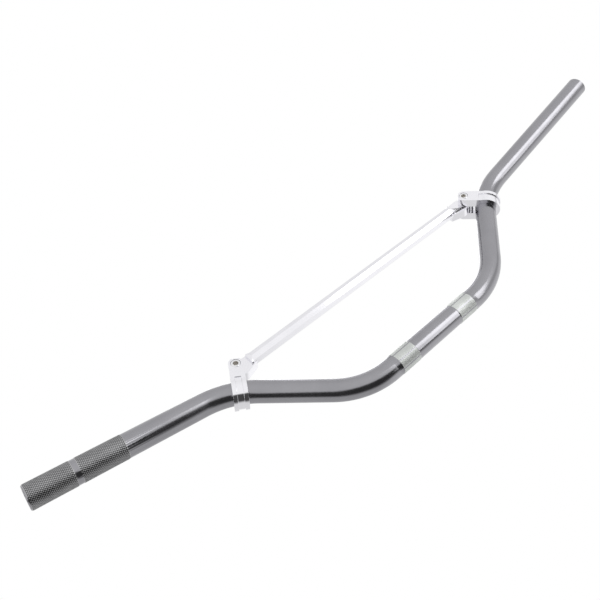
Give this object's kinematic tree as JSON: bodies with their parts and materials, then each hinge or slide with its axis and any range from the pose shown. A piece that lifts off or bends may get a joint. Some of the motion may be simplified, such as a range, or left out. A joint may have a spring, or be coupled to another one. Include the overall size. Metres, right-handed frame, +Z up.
{
  "type": "handlebar",
  "caption": "Braced motocross handlebar: a bent round tube with knurled clamping zones, an octagonal crossbar, and clamps with ears, crossbar bolts and pinch bolts.",
  "frame": {"origin": "on the tube's axis at the middle of the central clamping section", "axes": "+X across the bar to its right-hand end, +Y forward, +Z up along the rise; the rider is at -Y"},
  "size_m": [0.7484, 0.0758, 0.1244],
  "materials": {
    "tube_anodised": "satin titanium-grey anodised",
    "polished_aluminium": "polished",
    "zinc_bolts": "bright zinc plated"
  },
  "bodies": {
    "root": {"handlebar_tube": "tube_anodised", "crossbar": "polished_aluminium", "clamp_left": "polished_aluminium", "clamp_right": "polished_aluminium", "crossbar_bolt_left": "zinc_bolts", "crossbar_bolt_right": "zinc_bolts", "pinch_bolt_left": "zinc_bolts", "pinch_bolt_right": "zinc_bolts"}
  },
  "joints": []
}
